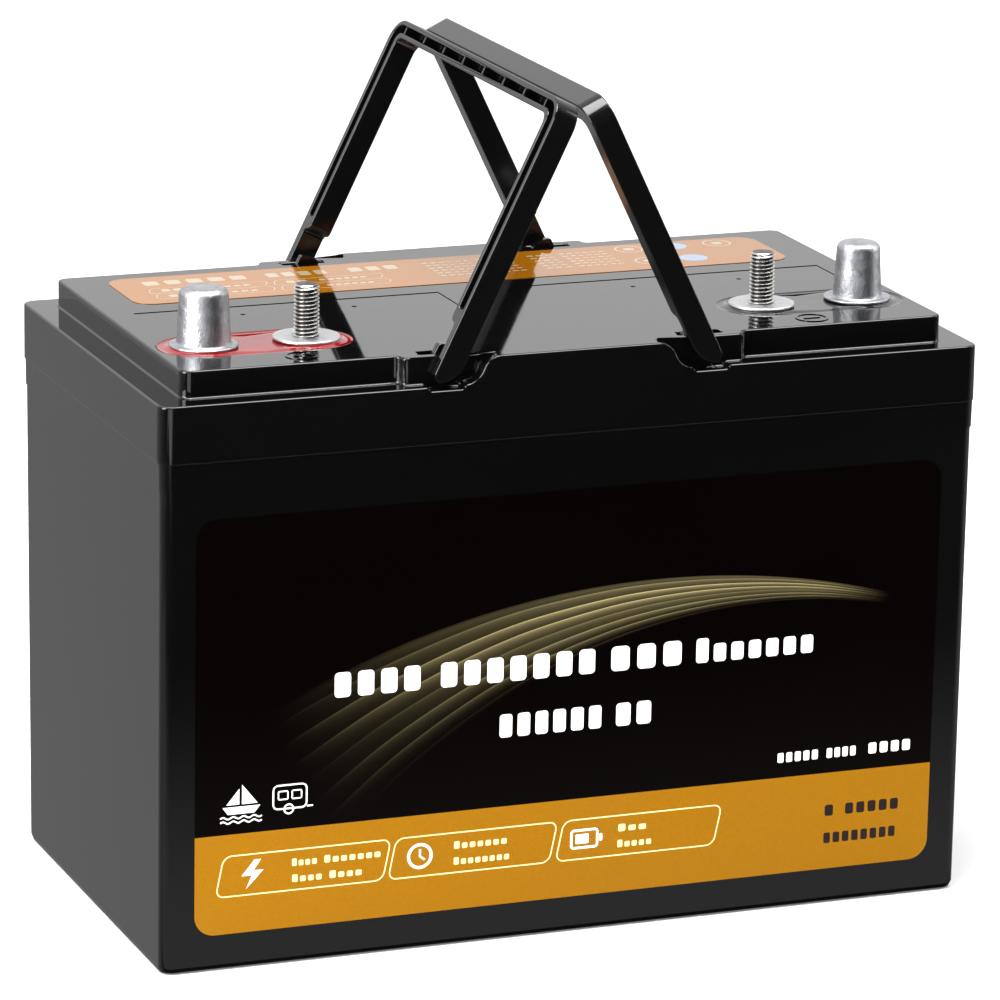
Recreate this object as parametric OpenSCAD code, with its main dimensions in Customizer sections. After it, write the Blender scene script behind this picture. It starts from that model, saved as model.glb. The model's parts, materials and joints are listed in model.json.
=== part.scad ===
// Deep cycle battery: six-cell sealed lead-acid battery with dual terminals and two bail handles.
// Millimetres. Origin at the centre of the underside. +X is the negative end, -Y the label side, +Z up.

/* [Battery] */
// Length of the cover along X
cover_l = 309.6; // [309.6:0.2:318]
// Width of the cover along Y
cover_w = 170.2; // [170.2:0.2:176]
// Height of the ledge that runs round the cover
ledge_z = 207.4; // [207.4:0.2:230]
// Height of the raised top above the ledge
plateau_h = 9.8; // [9.8:0.1:12]
// Height of the cover's skirt
skirt_h = 20.9; // [15:0.1:24]

/* [Case] */
// Thickness of the case's upper lip inside the skirt
lip_t = 2.4; // [1.8:0.1:2.4]
// Thickness of the long case walls at the floor
case_wall = 2.7; // [2.2:0.1:3]
// Thickness of the case floor
case_floor = 3; // [2:0.1:4]
// Thickness of each partition between cells
partition_t = 1.8; // [1.4:0.1:2.4]
// How far the skirt overhangs the case band
band_step = 0.5; // [0.3:0.1:1]
// Height of the thicker band under the skirt
band_h = 9.7; // [6:0.1:12]
// How far each face leans in from the band to the floor
case_draft = 1.9; // [0.5:0.1:2.2]

/* [Terminals] */
// Distance of the tapered posts from the centre
post_x = 125.3; // [124:0.1:127]
// Distance of the threaded studs from the centre
stud_x = 87.3; // [86:0.1:89]
// Distance of all four terminals towards the label side
terminal_y = 41.8; // [38:0.1:44]
// Top diameter of the positive post
positive_post_d = 17.5; // [17.5:0.1:17.6]
// Top diameter of the negative post
negative_post_d = 15.9; // [15.9:0.1:16]
// Height of the post above its flange
post_h = 19.9; // [17:0.1:21]
// Thread diameter of the studs
stud_d = 7.94; // [7.9:0.01:8]
// Height of the stud above its base
stud_h = 18.5; // [15:0.1:22]

/* [Handles] */
// Distance of the handle pivots from the centre
pivot_x = 49.1; // [49.1:0.1:50]
// Height of the handle pivots above the ledge
pivot_rise = 4.9; // [4.9:0.1:5.2]
// Length of a handle from its pivot to the grip's outer face
handle_l = 102.4; // [102.4:0.1:102.8]
// Depth of the handle section
handle_d = 9; // [8.4:0.1:9]
// Thickness of a handle leg
leg_t = 8.2; // [7.8:0.1:8.2]
// Thickness of the grip
grip_t = 6.8; // [6:0.1:6.8]
// How far the raised handle leans in past upright
handle_lean = 25.9; // [25.5:0.1:25.9]
// Ribs across the grip's channel
grip_ribs = 8; // [4:1:8]

/* [Labels] */
// Length of the front label
front_label_l = 283.4; // [240:0.2:286]
// Height of the front label
front_label_h = 152.4; // [120:0.2:154]
// Length of the top label
top_label_l = 257; // [200:1:260]
// Width of the top label
top_label_w = 41.6; // [30:0.2:42]

/* [Hidden] */
$fn = 48;
touch = 0.05;

cells = 6;
plateau_z = ledge_z + plateau_h;
skirt_z = ledge_z - skirt_h;
skirt_wall = 2.4;
cover_r = 5;
cover_t = 3;
housing_t = 2;
pocket_recess = 1.5;

plateau_l = cover_l - 21.2;
plateau_w = 151;
plateau_r = 4;
foot_zone_w = 160;
foot_zone_x = 64.75;
jog_r = 2.25;
hump_top_x = 29.5;
hump_base_x = 43.5;

band_l = cover_l - 2 * band_step;
band_w = cover_w - 2 * band_step;
band_z = skirt_z - band_h;
shell_step = 0.4;
shell_r = 4;
foot_z = 3;
slice_t = 0.01;
shell_l = band_l - 2 * shell_step;
shell_w = band_w - 2 * shell_step;
band_taper = 0.1;
lip_l = cover_l - 2 * (skirt_wall + touch);
lip_w = cover_w - 2 * (skirt_wall + touch);
cavity_l = lip_l - 2 * lip_t;
lip_r = 4;
cavity_w = shell_w - 2 * (case_draft + case_wall);
lip_z = 198.5;
seal_t = 1.5;
shoulder_z = lip_z + seal_t;

cell_pitch = (cavity_l + partition_t) / cells;
cell_l = cell_pitch - partition_t;
function cell_x(n) = (n - (cells + 1) / 2) * cell_pitch;

pivot_z = ledge_z + pivot_rise;
pin_r = 3;
pin_bore_r = 3.06;
slot_half_l = 8.4;
slot_y = [71.2, 76];
slot_floor_z = 207.6;
slot_housing_floor_t = 2.6;
slot_housing_w = 8;
leg_outer_y = 84.2;
foot_t = 3.8;
joggle_s = [14.2, 18.6];
key_r = 8;
key_half_w = 4.2;
key_y = [72.4, 75.4];
foot_arc_r = 11.5;
foot_heel_s = 4.9;
channel_wall = 2;
rib_pitch = 20.4;
grip_outer_r = 9;
grip_inner_r = 4;

well_r = 16.5;
well_floor_z = 207.2;
bar_r = 9;
bar_t = 5;
bar_top_z = well_floor_z + bar_t;
riser_seal_t = 1.5;
resin_top_z = plateau_z - 0.3;
flange_r = 12.3;
flange_top_z = plateau_z + 1.5;
riser_r = 7;
seal_ring_r = 9.5;
shank_r = 7.5;
stud_shank_r = 4.6;
stud_neck_r = 3.2;
stud_lip_t = 0.8;

vent_plate_x = 75.5;
vent_plate_y = 1.4;
vent_plate_l = 116.4;
vent_plate_w = 24.6;
vent_plate_t = 2;
vent_recess = 2.2;
vent_hole_x = [-20.9, 21.4];
vent_gap = 0.15;
cup_r = 8;
chimney_r = 3;
chimney_bore_r = 1.5;
valve_r = 5;
cup_floor_z = 208;
cup_floor_t = 2;
chimney_top_z = 213;
vent_hole_r = 0.9;

label_t = 0.2;
label_r = 7.5;
front_label_z = 89.8;
top_label_y = 45.8;

positives = 6;
negatives = 7;
positive_t = 2.9;
negative_t = 2;
mat_t = 1.2;
plate_w = 154;
plate_z = [8, 160];
stack_l = positives * positive_t + negatives * negative_t + 2 * positives * mat_t;
pair_pitch = positive_t + negative_t + 2 * mat_t;
lug_w = 12;
lug_y = 40;
function lug_side(n) = n % 2 == 1 ? -1 : 1;
strap_z = [164, 172];
strap_w = 16;
weld_z = 184;
weld_r = 6;

// ---- shared shapes ----

module rounded_rect(l, w, r) {
  square([l - 2 * r, w], center = true);
  square([l, w - 2 * r], center = true);
  for (x = [-1, 1], y = [-1, 1])
    translate([x * (l / 2 - r), y * (w / 2 - r)]) circle(r);
}

module rounded_slab(l, w, r, z, t) {
  translate([0, 0, z]) linear_extrude(t) rounded_rect(l, w, r);
}

// A stadium round one end's post and stud, in plan
module terminal_stadium(r) {
  span = post_x - stud_x;
  translate([(post_x + stud_x) / 2, -terminal_y]) square([span, 2 * r], center = true);
  for (x = [stud_x, post_x]) translate([x, -terminal_y]) circle(r);
}

// Places a shape made for the +X end at the positive (-1) or negative (+1) end
module at_end(side) {
  if (side < 0) mirror([1, 0, 0]) children();
  else children();
}

module four_ways() {
  for (mx = [0, 1], my = [0, 1]) mirror([mx, 0, 0]) mirror([0, my, 0]) children();
}

// ---- case ----

module case() {
  color([0.03, 0.03, 0.03]) difference() {
    union() {
      case_shell();
      case_band();
      rounded_slab(lip_l, lip_w, lip_r, skirt_z - 1, lip_z - skirt_z + 1);
    }
    for (n = [1:cells])
      translate([cell_x(n) - cell_l / 2, -cavity_w / 2, case_floor])
        cube([cell_l, cavity_w, lip_z]);
    for (n = [1:cells - 1])
      weld_bore(n, weld_r + touch);
  }
}

// The drafted wall with its rounded foot, as thin slices joined by one hull
module case_shell() {
  $fn = 32;
  foot = [[0, 2.2], [0.8, 0.7], [foot_z, 0]];
  hull() {
    for (f = foot)
      rounded_slab(shell_l - 2 * f[1], shell_w - 2 * (case_draft + f[1]), shell_r, f[0], slice_t);
    rounded_slab(shell_l, shell_w, shell_r, band_z - slice_t, slice_t);
  }
}

module case_band() {
  $fn = 32;
  hull() {
    rounded_slab(band_l - 2 * band_taper, band_w - 2 * band_taper, shell_r, band_z, slice_t);
    rounded_slab(band_l, band_w, shell_r, skirt_z - slice_t, slice_t);
  }
}

// ---- cover ----

module plateau_outline() {
  rounded_rect(plateau_l, plateau_w, plateau_r);
  intersection() {
    square([2 * foot_zone_x + 4 * jog_r, foot_zone_w], center = true);
    difference() {
      square([2 * foot_zone_x, foot_zone_w], center = true);
      four_ways() difference() {
        translate([foot_zone_x - jog_r, foot_zone_w / 2 - jog_r]) square(2 * jog_r);
        translate([foot_zone_x - jog_r, foot_zone_w / 2 - jog_r]) circle(jog_r);
      }
    }
  }
  four_ways() difference() {
    translate([foot_zone_x, plateau_w / 2 - 1]) square([jog_r, jog_r + 1]);
    translate([foot_zone_x + jog_r, plateau_w / 2 + jog_r]) circle(jog_r);
  }
}

// Side view of the hump: an S of two equal arcs on each flank
module hump_profile() {
  run = hump_base_x - hump_top_x;
  r = (run * run + plateau_h * plateau_h) / (4 * plateau_h);
  a = asin(run / (2 * r));
  steps = 8;
  top = [for (i = [0:steps]) let (t = a * i / steps)
    [hump_top_x + r * sin(t), plateau_h - r + r * cos(t)]];
  base = [for (i = [steps - 1:-1:0]) let (t = a * i / steps)
    [hump_base_x - r * sin(t), r - r * cos(t)]];
  flank = concat(top, base);
  mirrored = [for (i = [len(flank) - 1:-1:0]) [-flank[i][0], flank[i][1]]];
  polygon(concat(flank, [[hump_base_x, -1], [-hump_base_x, -1]], mirrored));
}

module humps() {
  intersection() {
    translate([0, cover_w / 2, ledge_z]) rotate([90, 0, 0]) linear_extrude(cover_w) hump_profile();
    rounded_slab(cover_l, cover_w, cover_r, ledge_z - 1, plateau_h + 1);
  }
}

module cover_outside() {
  rounded_slab(cover_l, cover_w, cover_r, skirt_z, skirt_h);
  translate([0, 0, ledge_z - 1]) linear_extrude(plateau_h + 1) plateau_outline();
  humps();
}

module cover_cavity() {
  rounded_slab(lip_l + 2 * touch, lip_w + 2 * touch, lip_r, skirt_z - 1, shoulder_z - skirt_z + 1);
  rounded_slab(cavity_l, cavity_w, 3, shoulder_z - 1, ledge_z - cover_t - shoulder_z + 1);
  rounded_slab(plateau_l - 2 * cover_t, plateau_w - 2 * cover_t, 3, shoulder_z - 1,
    plateau_z - cover_t - shoulder_z + 1);
}

// What stands inside the cavity: partition ribs, slot housings, terminal wells and valve cups
module cover_inside() {
  for (n = [1:cells - 1])
    translate([cell_x(n) + cell_pitch / 2 - partition_t / 2, -cavity_w / 2 - 1, shoulder_z])
      cube([partition_t, cavity_w + 2, plateau_z - shoulder_z]);
  four_ways()
    translate([pivot_x, slot_y[0] - housing_t, slot_floor_z - slot_housing_floor_t])
      translate([-slot_half_l - housing_t, 0, 0])
        cube([2 * (slot_half_l + housing_t), slot_housing_w, plateau_z - slot_floor_z]);
  for (side = [-1, 1])
    at_end(side) translate([0, 0, well_floor_z - cover_t])
      linear_extrude(plateau_z - well_floor_z + 2) terminal_stadium(well_r + housing_t);
  for (n = [1:cells])
    translate([cell_x(n), vent_plate_y, cup_floor_z - cup_floor_t])
      cylinder(r = cup_r + housing_t, h = plateau_z - cup_floor_z);
}

module foot_pockets() {
  four_ways() {
    translate([hump_base_x, foot_zone_w / 2, ledge_z - pocket_recess])
      cube([2 * (pivot_x - hump_base_x) + 2, 10, pocket_recess + 1]);
    translate([0, 0, slot_floor_z]) linear_extrude(plateau_h + 2) slot_outline();
    translate([pivot_x, slot_y[1] - 1, pivot_z]) rotate([-90, 0, 0])
      cylinder(r = pin_bore_r, h = foot_zone_w / 2 - slot_y[1] + 2);
  }
}

module slot_outline() {
  translate([pivot_x, (slot_y[0] + slot_y[1]) / 2])
    rounded_rect(2 * slot_half_l, slot_y[1] - slot_y[0], 1);
}

module cover() {
  color([0.03, 0.03, 0.03]) difference() {
    cover_outside();
    difference() {
      cover_cavity();
      cover_inside();
    }
    foot_pockets();
    for (side = [-1, 1]) at_end(side) {
      translate([0, 0, well_floor_z]) linear_extrude(plateau_h + 2) terminal_stadium(well_r);
      translate([post_x, -terminal_y, well_floor_z - 4]) cylinder(r = riser_r + touch, h = 5);
      translate([post_x, -terminal_y, well_floor_z - riser_seal_t])
        cylinder(r = seal_ring_r, h = riser_seal_t + 1);
    }
    for (side = [-1, 1])
      translate([side * vent_plate_x, vent_plate_y, plateau_z - vent_recess])
        linear_extrude(vent_recess + 1) square([vent_plate_l, vent_plate_w], center = true);
    for (n = [1:cells])
      translate([cell_x(n), vent_plate_y, 0]) {
        difference() {
          translate([0, 0, cup_floor_z]) cylinder(r = cup_r, h = plateau_h);
          translate([0, 0, cup_floor_z - 1])
            cylinder(r = chimney_r, h = chimney_top_z - cup_floor_z + 1);
        }
        translate([0, 0, cup_floor_z - 4]) cylinder(r = chimney_bore_r, h = 10);
      }
  }
}

// Sealing bead between the case walls and the cover, along every wall and partition
module cover_seal() {
  color([0.16, 0.16, 0.17]) translate([0, 0, lip_z]) linear_extrude(seal_t) difference() {
    rounded_rect(lip_l, lip_w, lip_r);
    for (n = [1:cells])
      translate([cell_x(n), 0]) square([cell_l, cavity_w], center = true);
  }
}

// ---- vents ----

module vent_plate(side) {
  color([0.04, 0.04, 0.04])
    translate([side * vent_plate_x, vent_plate_y, plateau_z - vent_recess]) difference() {
      linear_extrude(vent_plate_t)
        square([vent_plate_l - 2 * vent_gap, vent_plate_w - 2 * vent_gap], center = true);
      for (x = vent_hole_x)
        translate([x, 0, -1]) cylinder(r = vent_hole_r, h = vent_plate_t + 2);
    }
}

// Rubber cap that fits over the chimney and lifts to let gas out
module vent_valve(n) {
  color([0.1, 0.1, 0.1]) translate([cell_x(n), vent_plate_y, cup_floor_z]) difference() {
    cylinder(r = valve_r, h = chimney_top_z - cup_floor_z + 1.5);
    translate([0, 0, -1]) cylinder(r = chimney_r, h = chimney_top_z - cup_floor_z + 1);
  }
}

// ---- handles ----
// Drawn folded flat: s runs from the pivot towards the grip, y is along the pivot axis,
// and n is the depth, positive on the face that rests on the ledge.

module handle_plan(inset) {
  inner_y = leg_outer_y - leg_t;
  difference() {
    translate([-10, -leg_outer_y + inset])
      rounded_tip(handle_l + 10 - inset, 2 * (leg_outer_y - inset), grip_outer_r - inset);
    translate([-20, -inner_y - inset])
      rounded_tip(handle_l - grip_t + 20 + inset, 2 * (inner_y + inset), grip_inner_r);
  }
}

// A rectangle from the origin with its two far corners rounded
module rounded_tip(l, w, r) {
  square([l - r, w]);
  translate([0, r]) square([l, w - 2 * r]);
  for (y = [r, w - r]) translate([l - r, y]) circle(r);
}

// Side view of the legs, with a rounded heel and a cut toe that clear the pocket as the handle turns
module handle_side() {
  half = handle_d / 2;
  difference() {
    union() {
      translate([foot_heel_s, -half]) square([handle_l, handle_d]);
      intersection() {
        translate([-6, -half]) square([foot_heel_s + 7, handle_d]);
        translate([foot_heel_s, foot_arc_r - half]) circle(foot_arc_r);
      }
    }
    polygon([[-6, 1.4], [-6, half + 1], [-2.4, half + 1], [-3, half]]);
  }
}

// Plan view of what is cut from the inner side of the foot, with an S-shaped joggle
module foot_relief() {
  r = (joggle_s[1] - joggle_s[0]) / 2;
  y = leg_outer_y - foot_t;
  translate([-20, y - leg_t]) square([joggle_s[0] + 20, leg_t]);
  translate([joggle_s[0] - 1, y - leg_t]) square([r + 1, leg_t - r]);
  translate([joggle_s[0], y - r]) circle(r);
  difference() {
    translate([joggle_s[0] + r - 1, y - 2 * r - 1]) square([r + 1, r + 1]);
    translate([joggle_s[1], y - r]) circle(r);
  }
}

module handle_channel() {
  floor_t = 2.2;
  rib_t = 1.2;
  groove_start = joggle_s[1] + 3;
  difference() {
    translate([0, 0, floor_t - handle_d / 2]) linear_extrude(handle_d) intersection() {
      handle_plan(channel_wall);
      translate([groove_start, -100]) square([200, 200]);
    }
    for (i = [0:grip_ribs - 1]) {
      y = (i - (grip_ribs - 1) / 2) * rib_pitch;
      translate([handle_l - grip_t - 1, y - rib_t / 2, -handle_d])
        cube([grip_t + 2, rib_t, 2 * handle_d - rib_t]);
    }
  }
}

// Stub pin through the cover wall, with the key head that holds it in the slot
module handle_pivots() {
  for (m = [0, 1]) mirror([0, m, 0]) {
    translate([0, key_y[1] - 1, 0]) rotate([-90, 0, 0])
      cylinder(r = pin_r, h = leg_outer_y - foot_t - key_y[1] + 2);
    translate([0, key_y[0], 0]) rotate([-90, 0, 0]) linear_extrude(key_y[1] - key_y[0]) {
      circle(key_half_w);
      intersection() {
        circle(key_r);
        translate([0, -key_half_w]) square([key_r, 2 * key_half_w]);
      }
    }
  }
}

module handle_flat() {
  difference() {
    intersection() {
      translate([0, 0, -handle_d / 2]) linear_extrude(handle_d) handle_plan(0);
      translate([0, 100, 0]) rotate([90, 0, 0]) linear_extrude(200) handle_side();
    }
    for (m = [0, 1]) mirror([0, m, 0])
      translate([0, 0, -handle_d]) linear_extrude(2 * handle_d) foot_relief();
    handle_channel();
  }
  handle_pivots();
}

// Turns the flat drawing into the raised pose. The folded handle lies towards +X with n pointing down.
module handle(side) {
  color([0.05, 0.05, 0.05]) at_end(side)
    translate([pivot_x, 0, pivot_z])
      rotate([0, -90 - handle_lean, 0])
        rotate([180, 0, 0])
          handle_flat();
}

// ---- terminals ----

module post(side, top_d) {
  dome_r = 2.6;
  taper_h = post_h - dome_r;
  base_r = top_d / 2 + taper_h / 18;
  foot = [
    [0, bar_top_z], [shank_r, bar_top_z], [shank_r, resin_top_z], [flange_r, resin_top_z],
    [flange_r, flange_top_z - 0.6], [flange_r - 0.6, flange_top_z], [base_r, flange_top_z]
  ];
  dome = [for (i = [0:6]) let (a = 15 * i)
    [top_d / 2 - dome_r + dome_r * cos(a), flange_top_z + taper_h + dome_r * sin(a)]];
  color([0.62, 0.63, 0.66]) at_end(side) translate([post_x, -terminal_y, 0])
    rotate_extrude() polygon(concat(foot, dome, [[0, flange_top_z + post_h]]));
}

// Smooth shank held in the base, a thread run-out groove at the base's face, then the threaded length
module stud(side) {
  tip = 0.8;
  r = stud_d / 2;
  shank_top_z = flange_top_z - stud_lip_t;
  thread_z = flange_top_z + 0.2;
  end_z = flange_top_z + stud_h;
  color([0.78, 0.78, 0.78]) at_end(side) translate([stud_x, -terminal_y, 0]) rotate_extrude() polygon([
    [0, bar_top_z], [stud_shank_r, bar_top_z], [stud_shank_r, shank_top_z],
    [stud_neck_r, shank_top_z], [stud_neck_r, thread_z],
    [r, thread_z], [r, end_z - tip], [r - tip, end_z], [0, end_z]
  ]);
}

module stud_base(side) {
  color([0.7, 0.71, 0.73]) at_end(side) translate([stud_x, -terminal_y, 0]) difference() {
    union() {
      translate([0, 0, bar_top_z]) cylinder(r = shank_r, h = resin_top_z - bar_top_z + 1);
      translate([0, 0, resin_top_z]) cylinder(r = flange_r - 0.2, h = flange_top_z - resin_top_z);
    }
    translate([0, 0, bar_top_z - 1])
      cylinder(r = stud_shank_r + touch, h = flange_top_z - stud_lip_t + 1 - bar_top_z);
    translate([0, 0, bar_top_z]) cylinder(r = stud_neck_r + touch, h = 12);
  }
}

// Lead bar in the well that joins post and stud, with the riser down to the end cell's strap
module terminal_bar(side) {
  color([0.5, 0.51, 0.54]) at_end(side) {
    translate([0, 0, well_floor_z + touch]) linear_extrude(bar_t - touch) terminal_stadium(bar_r);
    translate([post_x, -terminal_y, strap_z[1]])
      cylinder(r = riser_r, h = well_floor_z - strap_z[1] + 1);
  }
}

module resin(side, tint) {
  color(tint) at_end(side) difference() {
    translate([0, 0, well_floor_z])
      linear_extrude(resin_top_z - well_floor_z) terminal_stadium(well_r - touch);
    translate([0, 0, well_floor_z - 1]) linear_extrude(bar_t + 1) terminal_stadium(bar_r + touch);
    for (x = [stud_x, post_x])
      translate([x, -terminal_y, well_floor_z - 1]) cylinder(r = shank_r + touch, h = plateau_h + 2);
  }
}

module riser_seal(side) {
  color([0.08, 0.08, 0.08]) at_end(side)
    translate([post_x, -terminal_y, well_floor_z - riser_seal_t]) difference() {
      cylinder(r = seal_ring_r - touch, h = riser_seal_t);
      translate([0, 0, -1]) cylinder(r = riser_r + touch, h = riser_seal_t + 2);
    }
}

// ---- labels ----

module front_label() {
  slope = case_draft / (band_z - foot_z);
  middle_y = shell_w / 2 - case_draft + (front_label_z - foot_z) * slope + 0.01;
  color([0.02, 0.01, 0.01])
    translate([0, -middle_y, front_label_z]) rotate([90 + atan(slope), 0, 0])
      linear_extrude(label_t) rounded_rect(front_label_l, front_label_h, label_r);
}

module top_label() {
  color([0.75, 0.52, 0.2])
    translate([0, top_label_y, plateau_z])
      linear_extrude(label_t) rounded_rect(top_label_l, top_label_w, label_r);
}

// ---- cells ----
// In each cell the plates stand in a row along X, negative plates at both ends, with a mat in every gap.
// The positive lugs are on the label side in odd cells and on the far side in even cells.

module plate(t, y) {
  translate([-t / 2, -plate_w / 2, plate_z[0]]) cube([t, plate_w, plate_z[1] - plate_z[0]]);
  translate([-t / 2, y - lug_w / 2, plate_z[1] - 1]) cube([t, lug_w, strap_z[0] - plate_z[1] + 1]);
}

module positive_plates(n) {
  color([0.28, 0.14, 0.09]) for (i = [0:positives - 1])
    translate([cell_x(n) + (i - (positives - 1) / 2) * pair_pitch, 0, 0])
      plate(positive_t, lug_side(n) * lug_y);
}

module negative_plates(n) {
  color([0.42, 0.43, 0.45]) for (i = [0:negatives - 1])
    translate([cell_x(n) + (i - (negatives - 1) / 2) * pair_pitch, 0, 0])
      plate(negative_t, -lug_side(n) * lug_y);
}

// Each positive plate is wrapped by a folded glass mat, closed under the plate
module separators(n) {
  mat_w = plate_w + 3;
  wrap = positive_t + 2 * mat_t;
  color([0.9, 0.9, 0.86]) for (i = [0:positives - 1])
    translate([cell_x(n) + (i - (positives - 1) / 2) * pair_pitch, 0, 0]) difference() {
      translate([-wrap / 2, -mat_w / 2, plate_z[0] - mat_t])
        cube([wrap, mat_w, plate_z[1] - plate_z[0] + 3]);
      translate([-positive_t / 2, -mat_w, plate_z[0]]) cube([positive_t, 2 * mat_w, plate_z[1]]);
    }
}

module strap(n, y) {
  color([0.5, 0.51, 0.54])
    translate([cell_x(n) - stack_l / 2, y - strap_w / 2, strap_z[0]])
      cube([stack_l, strap_w, strap_z[1] - strap_z[0]]);
}

// Lead lugs that stand on neighbouring straps and meet through a hole in the partition
module intercell_welds() {
  lug_t = 4;
  color([0.5, 0.51, 0.54]) for (n = [1:cells - 1]) {
    y = -lug_side(n) * lug_y;
    for (s = [-1, 1]) {
      x = cell_x(n) + cell_pitch / 2 + s * (partition_t + lug_t) / 2;
      translate([x, y, (strap_z[1] + weld_z + weld_r) / 2])
        cube([lug_t, strap_w, weld_z + weld_r - strap_z[1]], center = true);
    }
    weld_bore(n, weld_r);
  }
}

// The round opening in the partition after cell n
module weld_bore(n, r) {
  translate([cell_x(n) + cell_pitch / 2 - partition_t / 2 - 0.1, -lug_side(n) * lug_y, weld_z])
    rotate([0, 90, 0]) cylinder(r = r, h = partition_t + 0.2);
}

// ---- nodes ----

case();
cover();
cover_seal();
vent_plate(-1);  // vent_plate_left
vent_plate(1);  // vent_plate_right
handle(-1);  // handle_left
handle(1);  // handle_right
post(-1, positive_post_d);  // positive_post
stud(-1);  // positive_stud
stud_base(-1);  // positive_stud_base
terminal_bar(-1);  // positive_terminal_bar
resin(-1, [0.7, 0.1, 0.1]);  // positive_resin
riser_seal(-1);  // positive_riser_seal
post(1, negative_post_d);  // negative_post
stud(1);  // negative_stud
stud_base(1);  // negative_stud_base
terminal_bar(1);  // negative_terminal_bar
resin(1, [0.05, 0.05, 0.05]);  // negative_resin
riser_seal(1);  // negative_riser_seal
front_label();
top_label();
intercell_welds();
for (n = [1:cells]) {
  vent_valve(n);
  positive_plates(n);
  negative_plates(n);
  separators(n);
  strap(n, lug_side(n) * lug_y);
  strap(n, -lug_side(n) * lug_y);
}
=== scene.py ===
import json
import math
import random

import bmesh
import bpy
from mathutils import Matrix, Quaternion, Vector

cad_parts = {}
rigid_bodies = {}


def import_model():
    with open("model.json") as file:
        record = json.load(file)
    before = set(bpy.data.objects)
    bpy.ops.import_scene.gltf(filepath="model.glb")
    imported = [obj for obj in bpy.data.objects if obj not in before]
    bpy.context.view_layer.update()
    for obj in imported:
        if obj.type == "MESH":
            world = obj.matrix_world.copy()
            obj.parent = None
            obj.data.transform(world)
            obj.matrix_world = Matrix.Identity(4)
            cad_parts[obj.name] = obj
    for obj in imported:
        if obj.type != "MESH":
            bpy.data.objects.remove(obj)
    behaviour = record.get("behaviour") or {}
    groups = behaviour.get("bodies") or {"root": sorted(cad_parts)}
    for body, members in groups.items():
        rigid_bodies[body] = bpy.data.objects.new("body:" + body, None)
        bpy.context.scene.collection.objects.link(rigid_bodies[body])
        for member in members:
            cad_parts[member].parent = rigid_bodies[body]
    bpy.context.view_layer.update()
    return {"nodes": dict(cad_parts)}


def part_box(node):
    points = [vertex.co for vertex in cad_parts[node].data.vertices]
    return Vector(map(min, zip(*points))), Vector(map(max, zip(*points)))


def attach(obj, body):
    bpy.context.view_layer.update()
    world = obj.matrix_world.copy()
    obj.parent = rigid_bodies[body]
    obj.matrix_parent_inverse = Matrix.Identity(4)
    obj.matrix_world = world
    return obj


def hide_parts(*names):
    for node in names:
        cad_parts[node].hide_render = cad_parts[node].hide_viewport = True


for leftover in list(bpy.data.objects):
    bpy.data.objects.remove(leftover)

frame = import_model()
NODES = frame["nodes"]
MM = 0.001
CELLS = range(1, 7)


# ---- node helpers ----

class NodeTree:
    """A node tree with short ways to add nodes and join them."""

    def __init__(self, tree):
        self.tree = tree

    def node(self, kind, inputs=None, **settings):
        made = self.tree.nodes.new(kind)
        for key, value in settings.items():
            setattr(made, key, value)
        for key, value in (inputs or {}).items():
            self.join(value, made.inputs[key])
        return made

    def join(self, value, socket):
        if isinstance(value, bpy.types.NodeSocket):
            self.tree.links.new(value, socket)
        else:
            socket.default_value = value

    def math(self, operation, a, b=0.0, clamp=False):
        made = self.node("ShaderNodeMath", {0: a, 1: b}, operation=operation, use_clamp=clamp)
        return made.outputs[0]

    def span(self, value, low, high, to_low=0.0, to_high=1.0, smooth=False):
        made = self.node("ShaderNodeMapRange", {
            "Value": value, "From Min": low, "From Max": high, "To Min": to_low, "To Max": to_high})
        if smooth:
            made.interpolation_type = "SMOOTHSTEP"
        return made.outputs["Result"]

    def parts(self, vector):
        return self.node("ShaderNodeSeparateXYZ", {0: vector}).outputs


class Shader(NodeTree):
    """A material on the object's own coordinates."""

    def __init__(self, name):
        self.material = bpy.data.materials.new(name)
        self.material.use_nodes = True
        super().__init__(self.material.node_tree)
        self.bsdf = self.tree.nodes["Principled BSDF"]
        self.place = self.node("ShaderNodeTexCoord").outputs["Object"]

    def set(self, **inputs):
        for key, value in inputs.items():
            self.join(value, self.bsdf.inputs[key.replace("_", " ")])

    def stretched(self, x=1.0, y=1.0, z=1.0):
        made = self.node("ShaderNodeMapping", {"Vector": self.place, "Scale": (x, y, z)})
        return made.outputs["Vector"]

    def noise(self, scale, detail=4.0, roughness=0.5, distortion=0.0, vector=None):
        made = self.node("ShaderNodeTexNoise", {
            "Vector": vector or self.place, "Scale": scale, "Detail": detail,
            "Roughness": roughness, "Distortion": distortion})
        return made.outputs["Fac"]

    def mix(self, share, a, b):
        made = self.node("ShaderNodeMix", data_type="RGBA")
        self.join(share, made.inputs["Factor"])
        self.join(a, made.inputs[6])
        self.join(b, made.inputs[7])
        return made.outputs[2]

    def bump(self, height, depth, strength=1.0, normal=None):
        made = self.node("ShaderNodeBump", {"Height": height, "Distance": depth, "Strength": strength})
        if normal:
            self.join(normal, made.inputs["Normal"])
        return made.outputs["Normal"]


def rgb(red, green, blue):
    return (red, green, blue, 1.0)


def black_plastic(name, shade, gloss, grain, ripple):
    """Moulded black plastic: a slow ripple, a fine grain, and dust and handling that dull the gloss."""
    s = Shader(name)
    dust = s.noise(900, 3, 0.7)
    handling = s.noise(22, 5, 0.6)
    specks = s.span(dust, 0.66, 0.74)
    s.set(
        Base_Color=s.mix(s.math("MULTIPLY", specks, 0.25), rgb(*shade), rgb(0.03, 0.03, 0.032)),
        Roughness=s.math("ADD", s.span(handling, 0.35, 0.75, gloss * 0.8, gloss * 1.35),
                         s.math("MULTIPLY", specks, 0.08)),
        IOR=1.5,
    )
    slow = s.bump(s.noise(16, 2), ripple)
    s.set(Normal=s.bump(s.noise(1400, 2), grain, normal=slow))
    return s.material


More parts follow.
